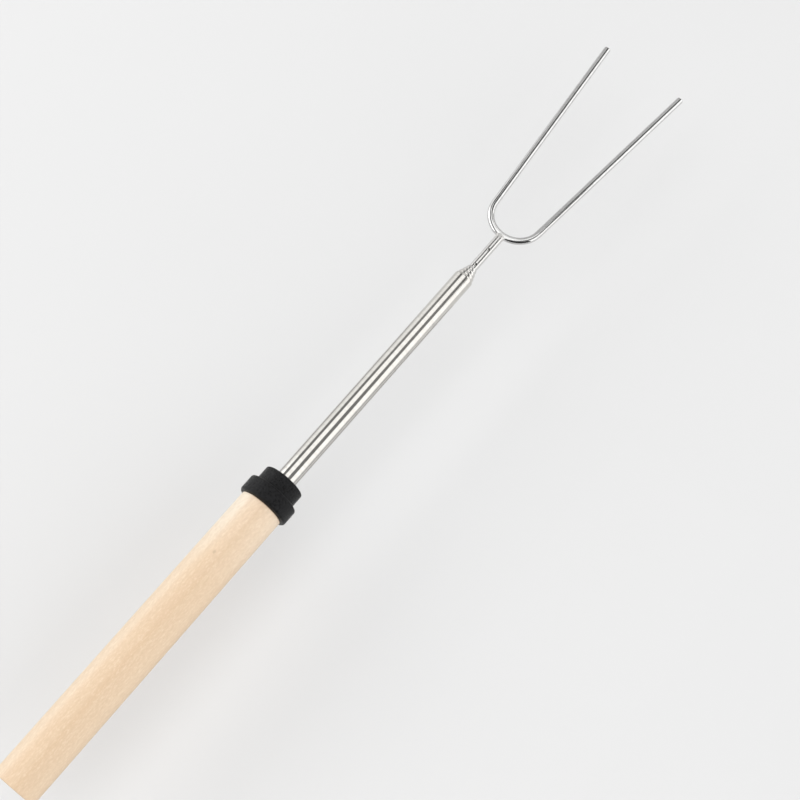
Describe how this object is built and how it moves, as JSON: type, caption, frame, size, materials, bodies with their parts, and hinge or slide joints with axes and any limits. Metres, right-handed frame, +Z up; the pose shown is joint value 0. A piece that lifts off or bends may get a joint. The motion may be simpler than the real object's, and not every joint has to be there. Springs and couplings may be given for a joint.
{
  "type": "marshmallow roasting fork",
  "caption": "Telescopic two-tine roasting fork with nested stainless tubes that slide and turn, a black collar and a wooden handle.",
  "frame": {"origin": "centre of the handle's butt face", "axes": "+X along the fork from the butt to the tines, +Y across the tines, +Z up, square to the plane of the tines"},
  "size_m": [0.3221, 0.035, 0.018],
  "materials": {
    "wood": "satin, fine lengthwise grain",
    "collar_black": "matte, faintly mottled moulding",
    "tube_steel": "bright, with fine marks round the tube",
    "wire_steel": "polished wire",
    "weld_steel": "smoothed weld",
    "brass": "turned",
    "spring_bronze": "rolled spring strip"
  },
  "bodies": {
    "grip": {"handle": "wood", "collar": "collar_black", "outer_tube": "tube_steel", "outer_tube_plug": "brass"},
    "spring_2": {"friction_spring_2": "spring_bronze"},
    "section_2": {"tube_2": "tube_steel", "foot_2": "brass"},
    "spring_3": {"friction_spring_3": "spring_bronze"},
    "section_3": {"tube_3": "tube_steel", "foot_3": "brass"},
    "spring_4": {"friction_spring_4": "spring_bronze"},
    "section_4": {"tube_4": "tube_steel", "foot_4": "brass"},
    "spring_5": {"friction_spring_5": "spring_bronze"},
    "section_5": {"tube_5": "tube_steel", "foot_5": "brass", "fork_stem": "wire_steel", "fork_wire": "wire_steel", "weld_bead": "weld_steel"}
  },
  "joints": [
    {"name": "section_2_slide", "type": "slide", "parent": "grip", "child": "spring_2", "axis": [1, 0, 0], "range_m": [0, 0.13415]},
    {"name": "section_2_turn", "type": "hinge", "parent": "spring_2", "child": "section_2", "pos_m": [0.078, 0, 0], "axis": [1, 0, 0], "continuous": true},
    {"name": "section_3_slide", "type": "slide", "parent": "section_2", "child": "spring_3", "axis": [1, 0, 0], "range_m": [0, 0.12665]},
    {"name": "section_3_turn", "type": "hinge", "parent": "spring_3", "child": "section_3", "pos_m": [0.087, 0, 0], "axis": [1, 0, 0], "continuous": true},
    {"name": "section_4_slide", "type": "slide", "parent": "section_3", "child": "spring_4", "axis": [1, 0, 0], "range_m": [0, 0.1191]},
    {"name": "section_4_turn", "type": "hinge", "parent": "spring_4", "child": "section_4", "pos_m": [0.096, 0, 0], "axis": [1, 0, 0], "continuous": true},
    {"name": "section_5_slide", "type": "slide", "parent": "section_4", "child": "spring_5", "axis": [1, 0, 0], "range_m": [0, 0.11155]},
    {"name": "section_5_turn", "type": "hinge", "parent": "spring_5", "child": "section_5", "pos_m": [0.105, 0, 0], "axis": [1, 0, 0], "continuous": true}
  ]
}
